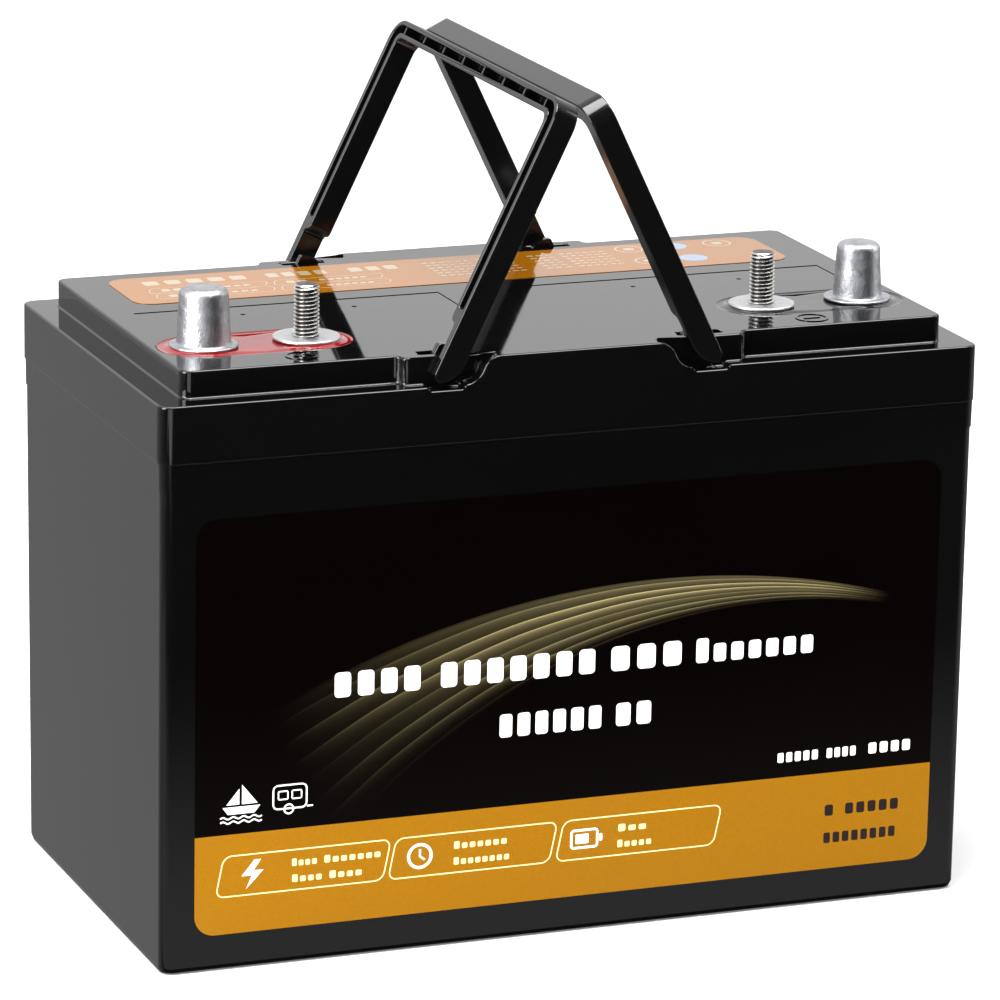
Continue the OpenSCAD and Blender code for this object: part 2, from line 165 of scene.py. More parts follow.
def cast_lead(name, shade, roughness, blotch=0.5, streak=0.5):
    """Dull cast lead with oxide blotches, pits and drawn streaks up its side."""
    s = Shader(name)
    clouds = s.noise(160, 6, 0.62, 0.6)
    streaks = s.noise(1, 5, 0.6, vector=s.stretched(900, 900, 45))
    pits = s.span(s.noise(620, 4, 0.7), 0.62, 0.7)
    light = rgb(*[min(1.0, c * 1.28) for c in shade])
    dark = rgb(*[c * 0.45 for c in shade])
    oxide = s.math("MULTIPLY", s.span(clouds, 0.42, 0.68), blotch, clamp=True)
    drawn = s.math("MULTIPLY", s.span(streaks, 0.4, 0.72), streak, clamp=True)
    colour = s.mix(drawn, s.mix(oxide, light, dark), rgb(*shade))
    s.set(
        Base_Color=s.mix(s.math("MULTIPLY", pits, 0.6), colour, dark),
        Metallic=1.0,
        Roughness=s.span(clouds, 0.3, 0.7, roughness * 0.8, roughness * 1.3),
    )
    grains = s.noise(1300, 3, 0.75)
    rough = s.bump(s.math("ADD", clouds, s.math("MULTIPLY", s.noise(420, 5, 0.7), 0.5)), 0.3 * MM)
    rough = s.bump(s.span(grains, 0.45, 0.75), 0.06 * MM, normal=rough)
    s.set(Normal=s.bump(s.math("ADD", streaks, s.math("MULTIPLY", pits, -0.5)), 0.05 * MM, normal=rough))
    return s.material


def stainless(name, light, dull, gloss):
    """Rolled stainless steel with fine lines round the stud."""
    s = Shader(name)
    lines = s.noise(1, 3, 0.5, vector=s.stretched(300, 300, 9000))
    s.set(
        Base_Color=s.mix(s.span(s.noise(240, 3), 0.4, 0.7), rgb(*light), rgb(*dull)),
        Metallic=1.0,
        Roughness=s.span(lines, 0.3, 0.7, gloss, gloss * 1.6),
        Normal=s.bump(lines, 0.01 * MM),
    )
    return s.material


def poured_resin(name, shade, deep):
    """Clear-surfaced epoxy: darker where thick, with small cast bubbles and a slow ripple."""
    s = Shader(name)
    clouds = s.noise(70, 4)
    bubbles = s.node("ShaderNodeTexVoronoi", {"Vector": s.place, "Scale": 420.0}).outputs["Distance"]
    s.set(
        Base_Color=s.mix(s.span(clouds, 0.35, 0.7), rgb(*shade), rgb(*deep)),
        Roughness=0.07,
        IOR=1.54,
    )
    slow = s.bump(s.noise(60, 2), 0.12 * MM)
    s.set(Normal=s.bump(s.span(bubbles, 0.0, 0.12), 0.02 * MM, 0.4, normal=slow))
    return s.material


def matt(name, shade, shade_2, scale, roughness, depth):
    """A mottled dull surface, used for rubber, paste, fibre and the sealing bead."""
    s = Shader(name)
    cloud = s.noise(scale, 6, 0.65)
    s.set(
        Base_Color=s.mix(s.span(cloud, 0.35, 0.68), rgb(*shade), rgb(*shade_2)),
        Roughness=roughness,
        Normal=s.bump(cloud, depth),
    )
    return s.material


# The front label's print, in mm: the gold band's top edge, and the arc that the streaks of light fan
# out along, with the angles from upright where they end.
BAND_TOP = 50.5
BAND_EDGE = 0.06
BAND_GOLD = (0.275, 0.117, 0.003)
ARC_X = 34
ARC_Z = -186
ARC_R = 316
ARC_RIGHT = 0.29
ARC_LEFT = -0.5
FAN_NARROW = 4.5
FAN_SPREAD = 50
FAN_STRANDS = 6.5


def front_film(name):
    """Printed film: near-black, a gold band at the foot, and fine gold streaks of light on a shallow arc."""
    s = Shader(name)
    place = s.parts(s.place)
    x, z = place["X"], place["Z"]
    dx = s.math("SUBTRACT", x, ARC_X * MM)
    dz = s.math("SUBTRACT", z, ARC_Z * MM)
    radius = s.math("SQRT", s.math("ADD", s.math("MULTIPLY", dx, dx), s.math("MULTIPLY", dz, dz)))
    along = s.span(s.math("ARCTAN2", dx, dz), ARC_RIGHT, ARC_LEFT)
    widening = s.math("MULTIPLY", s.math("POWER", along, 1.5), FAN_SPREAD * MM)
    fan = s.math("ADD", widening, FAN_NARROW * MM)
    across = s.math("DIVIDE", s.math("SUBTRACT", ARC_R * MM, radius), fan)
    drift = s.math("MULTIPLY", s.noise(1, 2, vector=s.stretched(9, 0, 3)), 0.9)
    strands = s.math("ADD", s.math("MULTIPLY", across, FAN_STRANDS), drift)
    crest = s.math("SUBTRACT", 1.0, s.math("FRACT", strands))
    body = s.math("MULTIPLY", s.math("POWER", crest, 2.2), 0.42)
    glint = s.math("MULTIPLY", s.math("POWER", crest, 16), 0.75)
    uneven = s.node("ShaderNodeTexWhiteNoise", {"W": s.math("FLOOR", strands)}, noise_dimensions="1D")
    level = s.span(uneven.outputs["Value"], 0.0, 1.0, 0.25, 1.0)
    edge_in = s.span(across, -0.02, 0.03)
    edge_out = s.span(across, 0.5, 1.1, 1.0, 0.0, smooth=True)
    right_end = s.span(along, 0.0, 0.14, smooth=True)
    left_end = s.span(along, 0.3, 1.0, 1.0, 0.0, smooth=True)
    shape = s.math("MULTIPLY", s.math("MULTIPLY", edge_in, edge_out), s.math("MULTIPLY", right_end, left_end))
    fold = s.math("MULTIPLY", level, s.math("ADD", body, glint))
    streak = s.math("MULTIPLY", shape, fold, clamp=True)
    haze = s.math("MULTIPLY", shape, 0.07)
    mottle = s.math("MULTIPLY", s.noise(300, 3), 0.4)
    dark = s.mix(mottle, rgb(0.0014, 0.0006, 0.0005), rgb(0.0004, 0.0002, 0.0002))
    night = s.mix(s.math("ADD", streak, haze, clamp=True), dark, rgb(0.48, 0.4, 0.18))
    dull_gold = [c * 0.9 for c in BAND_GOLD]
    gold = s.mix(s.span(s.noise(1600, 2), 0.35, 0.7), rgb(*BAND_GOLD), rgb(*dull_gold))
    s.set(
        Base_Color=s.mix(s.span(z, (BAND_TOP + BAND_EDGE) * MM, (BAND_TOP - BAND_EDGE) * MM), night, gold),
        Roughness=s.span(s.noise(30, 4), 0.3, 0.7, 0.1, 0.2),
        IOR=1.2,
        Normal=s.bump(s.noise(18, 2), 0.03 * MM),
    )
    return s.material


def top_film(name, shade):
    """Printed film on the raised top, as glossy as the plastic beside it."""
    s = Shader(name)
    s.set(
        Base_Color=s.mix(s.span(s.noise(1500, 3), 0.35, 0.7), rgb(*shade), rgb(*[c * 0.86 for c in shade])),
        Roughness=s.span(s.noise(26, 4), 0.3, 0.7, 0.05, 0.12),
        IOR=1.5,
        Normal=s.bump(s.noise(20, 3), 0.04 * MM),
    )
    return s.material


def print_ink(name, shade, roughness=0.3):
    """Screen-printed ink with a faint mottle."""
    s = Shader(name)
    screen = s.noise(2600, 2)
    s.set(
        Base_Color=s.mix(s.span(screen, 0.3, 0.75, 0.0, 0.12), rgb(*shade), rgb(*[c * 0.6 for c in shade])),
        Roughness=roughness,
        IOR=1.5,
    )
    return s.material


# ---- materials ----

cover_black = black_plastic("cover_plastic_look", (0.0016, 0.0016, 0.0018), 0.05, 0.0015 * MM, 0.035 * MM)
case_black = black_plastic("case_plastic_look", (0.0016, 0.0016, 0.0018), 0.11, 0.003 * MM, 0.07 * MM)
handle_black = black_plastic("handle_plastic_look", (0.002, 0.002, 0.0022), 0.12, 0.004 * MM, 0.03 * MM)
post_lead = cast_lead("post_lead_look", (0.36, 0.365, 0.385), 0.33, 0.8, 0.6)
base_lead = cast_lead("stud_base_look", (0.42, 0.425, 0.43), 0.4, 0.3, 0.2)
inner_lead = cast_lead("inner_lead_look", (0.36, 0.37, 0.4), 0.5, 0.5, 0.2)
stud_steel = stainless("stud_steel_look", (0.6, 0.59, 0.57), (0.44, 0.43, 0.41), 0.2)
# The thread roots get a much darker steel: painted shade in the grooves between the thread's crests.
painted_shade_root_steel = stainless("thread_root_painted_shade_look", (0.09, 0.088, 0.084), (0.05, 0.049, 0.047), 0.32)
red_resin = poured_resin("red_resin_look", (0.21, 0.003, 0.003), (0.14, 0.002, 0.002))
black_resin = poured_resin("black_resin_look", (0.006, 0.006, 0.006), (0.003, 0.003, 0.003))
rubber = matt("rubber_look", (0.012, 0.012, 0.012), (0.03, 0.03, 0.03), 500, 0.65, 0.02 * MM)
bead = matt("sealing_bead_look", (0.08, 0.08, 0.085), (0.14, 0.14, 0.15), 300, 0.5, 0.05 * MM)
positive_paste = matt("positive_paste_look", (0.13, 0.05, 0.03), (0.22, 0.1, 0.06), 260, 0.85, 0.1 * MM)
negative_paste = matt("negative_paste_look", (0.2, 0.21, 0.22), (0.32, 0.33, 0.34), 260, 0.8, 0.1 * MM)
glass_mat = matt("glass_mat_look", (0.8, 0.8, 0.76), (0.93, 0.93, 0.9), 900, 0.9, 0.15 * MM)
white_ink = print_ink("white_ink_look", (0.9, 0.89, 0.86))
pale_ink = print_ink("pale_ink_look", (0.86, 0.68, 0.3))
dark_ink = print_ink("dark_ink_look", (0.012, 0.004, 0.004))
roof_ink = print_ink("roof_ink_look", (0.31, 0.25, 0.17), 0.08)
blue_ink = print_ink("blue_ink_look", (0.2, 0.26, 0.36), 0.08)
front_print = front_film("front_label_look")
top_print = top_film("top_label_look", (0.25, 0.088, 0.002))

# The CAD nodes that are shown as they are.
CARRIED_OVER = {
    "front_label": front_print,
    "top_label": top_print,
    "cover_seal": bead,
    "positive_riser_seal": rubber,
    "negative_riser_seal": rubber,
    "positive_terminal_bar": inner_lead,
    "negative_terminal_bar": inner_lead,
    "intercell_welds": inner_lead,
}
for cell in CELLS:
    CARRIED_OVER[f"vent_valve_{cell}"] = rubber
    CARRIED_OVER[f"positive_plates_{cell}"] = positive_paste
    CARRIED_OVER[f"negative_plates_{cell}"] = negative_paste
    CARRIED_OVER[f"separators_{cell}"] = glass_mat
    CARRIED_OVER[f"positive_strap_{cell}"] = inner_lead
    CARRIED_OVER[f"negative_strap_{cell}"] = inner_lead
for node, material in CARRIED_OVER.items():
    for material_slot in NODES[node].material_slots:
        material_slot.material = material


# ---- mesh helpers ----

# Angles in degrees: faces closer than FLAT lie in one plane, corners sharper than CREASE stay sharp in the
# shading, and edges that turn by more than CORNER are rounded.
FLAT = 0.5
CREASE = 30
CORNER = 28
WELD = 0.002 * MM


def add_piece(name, bm, materials, replaces=None, body="battery", sharp=35):
    """Turns a bmesh into a piece that rides on a body and may stand for a CAD node."""
    bmesh.ops.recalc_face_normals(bm, faces=bm.faces)
    mesh = bpy.data.meshes.new(name)
    bm.to_mesh(mesh)
    bm.free()
    for material in materials:
        mesh.materials.append(material)
    mesh.shade_smooth()
    mesh.set_sharp_from_angle(angle=math.radians(sharp))
    obj = bpy.data.objects.new(name, mesh)
    bpy.context.scene.collection.objects.link(obj)
    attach(obj, body)
    if replaces:
        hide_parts(replaces)
    return obj


def steady_normals(obj):
    """Sets every corner's normal so that whole flat faces stay flat beside their rounded edges."""
    bm = bmesh.new()
    bm.from_mesh(obj.data)
    bm.faces.ensure_lookup_table()
    leader = list(range(len(bm.faces)))

    def find(i):
        while leader[i] != i:
            leader[i] = leader[leader[i]]
            i = leader[i]
        return i

    for e in bm.edges:
        if len(e.link_faces) == 2 and e.calc_face_angle(9.0) < math.radians(FLAT):
            leader[find(e.link_faces[0].index)] = find(e.link_faces[1].index)
    area = [0.0] * len(bm.faces)
    for f in bm.faces:
        area[find(f.index)] += f.calc_area()
    least = math.cos(math.radians(CREASE))
    normals = []
    for f in bm.faces:
        for corner in f.loops:
            shares = {find(f.index): f.normal}
            for g in corner.vert.link_faces:
                if g.normal.dot(f.normal) > least:
                    shares.setdefault(find(g.index), g.normal)
            total = Vector((0, 0, 0))
            for face, normal in shares.items():
                total += normal * area[face]
            normals.append(total.normalized() if total.length > 0 else f.normal.copy())
    bm.free()
    obj.data.normals_split_custom_set(normals)


def clean_copy(node):
    """The CAD node's own mesh, welded."""
    bm = bmesh.new()
    bm.from_mesh(NODES[node].data)
    bmesh.ops.remove_doubles(bm, verts=bm.verts, dist=WELD)
    bmesh.ops.recalc_face_normals(bm, faces=bm.faces)
    return bm


def middle_of(edge):
    return (edge.verts[0].co + edge.verts[1].co) / 2


def round_edges(bm, width, segments, wanted):
    """Rounds the sharp edges for which wanted(edge) is true."""
    edges = [
        e for e in bm.edges
        if len(e.link_faces) == 2
        and e.calc_face_angle(0) > math.radians(CORNER)
        and wanted(e)
    ]
    bmesh.ops.bevel(
        bm, geom=edges, offset=width, offset_type="OFFSET", segments=segments, profile=0.5,
        affect="EDGES", clamp_overlap=False, miter_outer="ARC", miter_inner="ARC", spread=width * 0.3)


def lathe(bm, centre, profile, steps=96, wobble=None):
    """Turns a profile of (radius, height) pairs in mm round a vertical axis."""
    rings = []
    for r, z in profile:
        if r == 0:
            rings.append([bm.verts.new((centre.x, centre.y, z * MM))])
            continue
        ring = []
        for i in range(steps):
            a = 2 * math.pi * i / steps
            grow = wobble(a, z) if wobble else 0.0
            ring.append(bm.verts.new((
                centre.x + (r + grow) * MM * math.cos(a),
                centre.y + (r + grow) * MM * math.sin(a),
                z * MM)))
        rings.append(ring)
    for low, high in zip(rings, rings[1:]):
        for i in range(steps):
            j = (i + 1) % steps
            quad = [low[i % len(low)], low[j % len(low)], high[j % len(high)], high[i % len(high)]]
            unique = list(dict.fromkeys(quad))
            if len(unique) > 2:
                bm.faces.new(unique)


def arc(cx, cz, r, start, end, steps=8):
    """Points of a profile's round corner, angles in degrees from the +radius direction."""
    points = []
    for i in range(steps + 1):
        a = math.radians(start + (end - start) * i / steps)
        points.append((cx + r * math.cos(a), cz + r * math.sin(a)))
    return points


# ---- case, cover, vent plates ----

cover_low, cover_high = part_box("cover")
# Distances from the middle, in metres, past which an edge lies on the ledges' side or on the skirt.
RIM_X = 0.141
RIM_Y = 0.0745
SKIRT_X = 0.152
SKIRT_Y = 0.0846


def on_rim(edge):
    """True for the outer edges of the raised top, and for those of the ledges round it."""
    at = middle_of(edge)
    return at.z > cover_low.z + 12 * MM and (abs(at.x) > RIM_X or abs(at.y) > RIM_Y)


def on_skirt_foot(edge):
    """True for the skirt's outer lower edge."""
    at = middle_of(edge)
    return at.z < cover_low.z + 1 * MM and (abs(at.x) > SKIRT_X or abs(at.y) > SKIRT_Y)


def on_top(edge):
    """True for the edges in the raised top's surface."""
    return middle_of(edge).z > cover_high.z - 0.5 * MM


bm = clean_copy("cover")
round_edges(bm, 0.8 * MM, 4, on_rim)
round_edges(bm, 0.5 * MM, 3, on_skirt_foot)
cover = add_piece("cover_moulding", bm, [cover_black], "cover")
steady_normals(cover)

bm = clean_copy("case")
case = add_piece("case_moulding", bm, [case_black], "case", sharp=25)
steady_normals(case)

for side in ("left", "right"):
    node = f"vent_plate_{side}"
    bm = clean_copy(node)
    round_edges(bm, 0.2 * MM, 2, on_top)
    plate = add_piece(f"{node}_moulding", bm, [cover_black], node)
    steady_normals(plate)


# ---- handles ----

# Half the grip's length between the legs, in metres.
GRIP_INNER_Y = 0.0725


def on_rib(edge):
    """True for the edges of the small ribs, which cross the grip's channel between the legs."""
    course = (edge.verts[1].co - edge.verts[0].co).normalized()
    return abs(course.y) < 0.1 and abs(middle_of(edge).y) < GRIP_INNER_Y


def off_rib(edge):
    return not on_rib(edge)


for side in ("left", "right"):
    node = f"handle_{side}"
    bm = clean_copy(node)
    round_edges(bm, 0.5 * MM, 3, off_rib)
    round_edges(bm, 0.12 * MM, 2, on_rib)
    handle = add_piece(f"{node}_moulding", bm, [handle_black], node, f"{side}_handle")
    steady_normals(handle)


# ---- terminals ----

# All in mm. The thread's shape is its depth at even steps along one pitch, as a share of the full depth.
THREAD_PITCH = 25.4 / 18
THREAD_DEPTH = 0.61 * THREAD_PITCH
THREAD_SHAPE = [0.0, 0.0, 0.2, 0.4, 0.6, 0.8, 1.0, 1.0, 0.8, 0.6, 0.4, 0.2]
THREAD_ROWS = len(THREAD_SHAPE)
THREAD_TIP = 0.9
# Faces whose two rows together lie deeper than this share take the darker steel: painted shade in the
# thread's roots.
ROOT_SHADE_SHARE = 1.15
STUD_HOLE_R = 4.02
SHANK_R = 7.5
FLANGE_T = 1.3
POST_TOP_D = {"positive": 17.5, "negative": 15.9}
POST_TAPER = 18
POST_DOME_R = 2.6
FILLET_R = 0.9
FILLET_RISE = 0.62
POOL_STEPS = 160
POOL_SAG = 0.12
POOL_DEPTHS = (0, 0.15, 0.35, 0.6, 0.9, 1.3, 1.8, 2.5, 3.4, 4.5, 5.8, 7.4, 9.2, 11.5, 14.0)


def threaded_stud(bm, centre, r, low, high):
    """A rod with a helical thread: its rows of points climb one pitch per turn, and the ends are trimmed."""
    steps = 64
    turns = math.ceil((high - low) / THREAD_PITCH) + 2
    rows = turns * THREAD_ROWS

    def point(i, j):
        raw = low + THREAD_PITCH * (j / THREAD_ROWS - 1 + i / steps)
        z = min(max(raw, low), high)
        depth = THREAD_DEPTH * THREAD_SHAPE[j % THREAD_ROWS]
        reach = min(r - depth, r - THREAD_TIP + (high - z))
        a = 2 * math.pi * i / steps
        return (centre.x + reach * MM * math.cos(a), centre.y + reach * MM * math.sin(a), z * MM)

    grid = [[bm.verts.new(point(i, j)) for j in range(rows)] for i in range(steps)]
    for i in range(steps):
        for j in range(rows - 1):
            if i + 1 < steps:
                right = grid[i + 1]
                quad = [grid[i][j], right[j], right[j + 1], grid[i][j + 1]]
            elif j + THREAD_ROWS + 1 < rows:
                right = grid[0]
                k = j + THREAD_ROWS
                quad = [grid[i][j], right[k], right[k + 1], grid[i][j + 1]]
            else:
                continue
            face = bm.faces.new(quad)
            # Faces in the thread's roots take the second, darker material: painted shade in the grooves.
            if THREAD_SHAPE[j % THREAD_ROWS] + THREAD_SHAPE[(j + 1) % THREAD_ROWS] > ROOT_SHADE_SHARE:
                face.material_index = 1
    bmesh.ops.remove_doubles(bm, verts=bm.verts, dist=0.004 * MM)
    bmesh.ops.dissolve_degenerate(bm, edges=bm.edges, dist=0.004 * MM)
    ends = [e for e in bm.edges if e.is_boundary]
    bmesh.ops.holes_fill(bm, edges=ends, sides=0)


def post_profile(low, high, top_d, flange_r, flange_top):
    """A tapered post's outline: shank, thin rounded flange, small fillet, taper and domed top."""
    taper_top = high - POST_DOME_R
    taper_foot = flange_top + FILLET_RISE
    taper_rise = taper_top - flange_top - FILLET_RISE
    base_r = top_d / 2 + (taper_top - flange_top) / POST_TAPER
    profile = [
        (0, low),
        (SHANK_R, low),
        (SHANK_R, flange_top - FLANGE_T),
        (flange_r - 0.7, flange_top - FLANGE_T),
    ]
    profile += arc(flange_r - 0.55, flange_top - 0.75, 0.55, -70, 80)
    profile.append((flange_r - 2.2, flange_top - 0.28))
    for degrees in (0, 22, 45, 68, 90):
        a = math.radians(degrees)
        profile.append((
            base_r + FILLET_R - FILLET_R * math.sin(a),
            taper_foot - FILLET_R * math.cos(a)))
    for i in range(1, 12):
        share = i / 12
        profile.append((base_r + (top_d / 2 - base_r) * share, taper_foot + taper_rise * share))
    profile += arc(top_d / 2 - POST_DOME_R, taper_top, POST_DOME_R, 0, 78)
    profile += [(top_d / 4, high - 0.02), (top_d / 9, high), (0, high)]
    return profile


def stud_base_profile(low, base_r, flange_top):
    """A stud base's outline: shank, flange with a dished face, and the hole that the stud stands in."""
    profile = [
        (STUD_HOLE_R, low),
        (SHANK_R, low),
        (SHANK_R, flange_top - FLANGE_T),
        (base_r - 0.7, flange_top - FLANGE_T),
    ]
    profile += arc(base_r - 0.65, flange_top - 0.65, 0.65, -70, 85)
    profile += [
        (base_r - 2.0, flange_top - 0.02),
        (5.6, flange_top - 0.05),
        (5.2, flange_top - 0.12),
        (4.3, flange_top - 0.25),
        (STUD_HOLE_R, flange_top - 0.6),
        (STUD_HOLE_R, low),
    ]
    return profile


def casting_dents(seed, start_z):
    """Returns the lead's unevenness above start_z as a function, under a tenth of a millimetre deep."""
    waves = [
        (seed.uniform(0, 6.3), seed.uniform(0, 6.3), seed.choice((2, 3, 5)), seed.uniform(0.4, 1.1))
        for _ in range(5)]

    def dents(a, z):
        if z < start_z:
            return 0.0
        total = sum(math.sin(k * a + p) * math.sin(f * z * 0.5 + q) for p, q, k, f in waves)
        return 0.022 * total - 0.04

    return dents


def resin_pool(bm, stud_at, post_at, low, high, flange_r, flange_top):
    """Poured resin in a stadium well: it creeps up the wall and up to the two flanges, and sags between."""
    wall_r = (high.y - low.y) / 2 / MM
    half = abs(post_at.x - stud_at.x) / 2
    middle_x = (post_at.x + stud_at.x) / 2
    middle_y = (low.y + high.y) / 2
    level = high.z / MM - POOL_SAG
    wall_rise = 0.32
    wall_reach = 0.7
    flange_rise = flange_top - 1.0 - level
    flange_reach = 0.9
    rings = []
    for depth in (*POOL_DEPTHS, wall_r):
        ring = []
        for i in range(POOL_STEPS):
            a = 2 * math.pi * i / POOL_STEPS
            shift = half if math.cos(a) > 0 else -half
            if abs(math.cos(a)) < 1e-9:
                shift = 0.0
            x = middle_x + shift + (wall_r - depth) * MM * math.cos(a)
            y = middle_y + (wall_r - depth) * MM * math.sin(a)
            gap = min(math.hypot(x - at.x, y - at.y) / MM - flange_r for at in (stud_at, post_at))
            rise = wall_rise * math.exp(-depth / wall_reach)
            rise += flange_rise * math.exp(-max(gap, 0.0) / flange_reach)
            ring.append(bm.verts.new((x, y, (level + min(rise, flange_rise)) * MM)))
        rings.append(ring)
    foot = [bm.verts.new((v.co.x, v.co.y, low.z)) for v in rings[0]]
    for outer, inner in zip([foot] + rings, rings):
        for i in range(POOL_STEPS):
            j = (i + 1) % POOL_STEPS
            bm.faces.new((outer[i], outer[j], inner[j], inner[i]))
    bm.faces.new(foot)
    bmesh.ops.remove_doubles(bm, verts=bm.verts, dist=0.001 * MM)


for sign, resin in (("positive", red_resin), ("negative", black_resin)):
    post_low, post_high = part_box(f"{sign}_post")
    post_at = (post_low + post_high) / 2
    flange_r = (post_high.x - post_low.x) / 2 / MM
    stud_low, stud_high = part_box(f"{sign}_stud")
    stud_at = (stud_low + stud_high) / 2
    stud_r = (stud_high.x - stud_low.x) / 2 / MM
    base_low, base_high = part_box(f"{sign}_stud_base")
    base_r = (base_high.x - base_low.x) / 2 / MM
    flange_top = base_high.z / MM
    dents = casting_dents(random.Random(sign), flange_top + 0.8)

    bm = bmesh.new()
    outline = post_profile(post_low.z / MM, post_high.z / MM, POST_TOP_D[sign], flange_r, flange_top)
    lathe(bm, post_at, outline, 112, dents)
    add_piece(f"{sign}_post_casting", bm, [post_lead], f"{sign}_post", sharp=50)

    bm = bmesh.new()
    lathe(bm, stud_at, stud_base_profile(base_low.z / MM, base_r, flange_top))
    bmesh.ops.remove_doubles(bm, verts=bm.verts, dist=0.001 * MM)
    add_piece(
        f"{sign}_stud_base_casting", bm, [base_lead], f"{sign}_stud_base", sharp=50)

    bm = bmesh.new()
    threaded_stud(bm, stud_at, stud_r, stud_low.z / MM, stud_high.z / MM)
    add_piece(
        # The second material is the darker root steel, painted shade in the thread's grooves.
        f"{sign}_stud_threaded", bm, [stud_steel, painted_shade_root_steel], f"{sign}_stud", sharp=30)

    bm = bmesh.new()
    resin_low, resin_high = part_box(f"{sign}_resin")
    resin_pool(bm, stud_at, post_at, resin_low, resin_high, flange_r, flange_top)
    add_piece(f"{sign}_resin_pool", bm, [resin], f"{sign}_resin", sharp=50)


# ---- prints on the labels and the polarity marks ----
# Every word is a row of plain blocks, and the symbols are simple generic ones. All in mm.

PRINT_LOW = -0.02
PRINT_HIGH = 0.03
MARK_LOW = -0.1
MARK_HIGH = 0.3
LETTER_GAP = 0.3
LETTER_ROUND = 0.24
SMALL_LETTER = 0.74


class Sheet:
    """A flat face of a CAD node, with points given in mm along it and mm off it."""

    def __init__(self, node, outward):
        faces = [f for f in NODES[node].data.polygons if f.normal.dot(outward) > 0.9]
        face = max(faces, key=lambda f: f.area)
        self.normal = face.normal.copy()
        self.origin = face.center.copy()
        self.up = self.normal.cross(Vector((1, 0, 0))).normalized()
        self.axis = 2 if abs(self.up.z) > 0.5 else 1

    def place(self, u, v, lift):
        step = (v * MM - self.origin[self.axis]) / self.up[self.axis]
        at = self.origin + self.up * step + self.normal * (lift * MM)
        at.x = u * MM
        return at


def patch(bm, sheet, outline, low=PRINT_LOW, high=PRINT_HIGH):
    """A thin plate with the given outline."""
    bottom = [bm.verts.new(sheet.place(u, v, low)) for u, v in outline]
    top = [bm.verts.new(sheet.place(u, v, high)) for u, v in outline]
    bm.faces.new(top)
    bm.faces.new(bottom[::-1])
    for i in range(len(outline)):
        j = (i + 1) % len(outline)
        bm.faces.new((bottom[i], bottom[j], top[j], top[i]))


def ribbon(bm, sheet, path, width, closed=True, low=PRINT_LOW, high=PRINT_HIGH):
    """A thin line of even width along a path."""
    rows = []
    last = len(path) - 1
    for i, (u, v) in enumerate(path):
        before = path[i - 1] if closed or i > 0 else path[i]
        after = path[(i + 1) % len(path)] if closed or i < last else path[i]
        course = Vector((after[0] - before[0], after[1] - before[1])).normalized()
        du, dv = -course.y * width / 2, course.x * width / 2
        left, right = (u + du, v + dv), (u - du, v - dv)
        corners = ((*left, low), (*left, high), (*right, high), (*right, low))
        rows.append([bm.verts.new(sheet.place(*corner)) for corner in corners])
    pairs = zip(rows, rows[1:] + rows[:1]) if closed else zip(rows, rows[1:])
    for one, two in pairs:
        for k in range(4):
            bm.faces.new((one[k], two[k], two[(k + 1) % 4], one[(k + 1) % 4]))
    if not closed:
        bm.faces.new(rows[0])
        bm.faces.new(rows[-1][::-1])


def rounded_box(u0, u1, v0, v1, r, slant=0.0, steps=5):
    """The outline of a box with round corners, whose upper side may lean to the right."""
    centres = ((u1 - r, v1 - r), (u0 + r, v1 - r), (u0 + r, v0 + r), (u1 - r, v0 + r))
    points = []
    for turn, (cu, cv) in enumerate(centres):
        for i in range(steps + 1):
            a = math.radians(90 * turn + 90 * i / steps)
            u, v = cu + r * math.cos(a), cv + r * math.sin(a)
            points.append((u + slant * (v - (v0 + v1) / 2), v))
    return points


def round_path(u, v, r, steps=40):
    """A circle's points."""
    angles = [2 * math.pi * i / steps for i in range(steps)]
    return [(u + r * math.cos(a), v + r * math.sin(a)) for a in angles]


def word(bm, sheet, u0, u1, v0, v1, count, tall=None):
    """A word as a row of blocks: the first tall ones reach full height, the rest are lower."""
    tall = count if tall is None else tall
    pitch = (u1 - u0) / count
    gap = LETTER_GAP * pitch
    for i in range(count):
        top = v1 if i < tall else v0 + SMALL_LETTER * (v1 - v0)
        left = u0 + i * pitch + gap / 2
        right = left + pitch - gap
        corner = LETTER_ROUND * min(right - left, top - v0)
        patch(bm, sheet, rounded_box(left, right, v0, top, corner))


def sailing_boat(bm, sheet):
    """A hull and two sails over two waves."""
    patch(bm, sheet, [(-131.6, 60.6), (-117.6, 60.6), (-119.8, 57.9), (-129.6, 57.9)])
    patch(bm, sheet, [(-124.4, 61.4), (-118.6, 61.4), (-124.4, 68.6)])
    patch(bm, sheet, [(-125.4, 61.4), (-125.4, 67.2), (-130.2, 61.4)])
    for sea in (56.6, 55.0):
        wave = [(-132.4 + 15.4 * i / 24, sea + 0.42 * math.sin(i * math.pi / 3)) for i in range(25)]
        ribbon(bm, sheet, wave, 0.55, closed=False)


def touring_caravan(bm, sheet):
    """A body with two windows, a wheel and a tow bar."""
    ribbon(bm, sheet, rounded_box(-112.8, -100.4, 58.1, 66.8, 1.8), 0.6)
    for left, right in ((-110.9, -107.4), (-105.8, -102.3)):
        ribbon(bm, sheet, rounded_box(left, right, 61.6, 64.6, 0.5), 0.5)
    ribbon(bm, sheet, round_path(-107, 57.9, 1.7), 0.6)
    ribbon(bm, sheet, [(-100.3, 58.4), (-98.0, 58.4)], 0.6, closed=False)


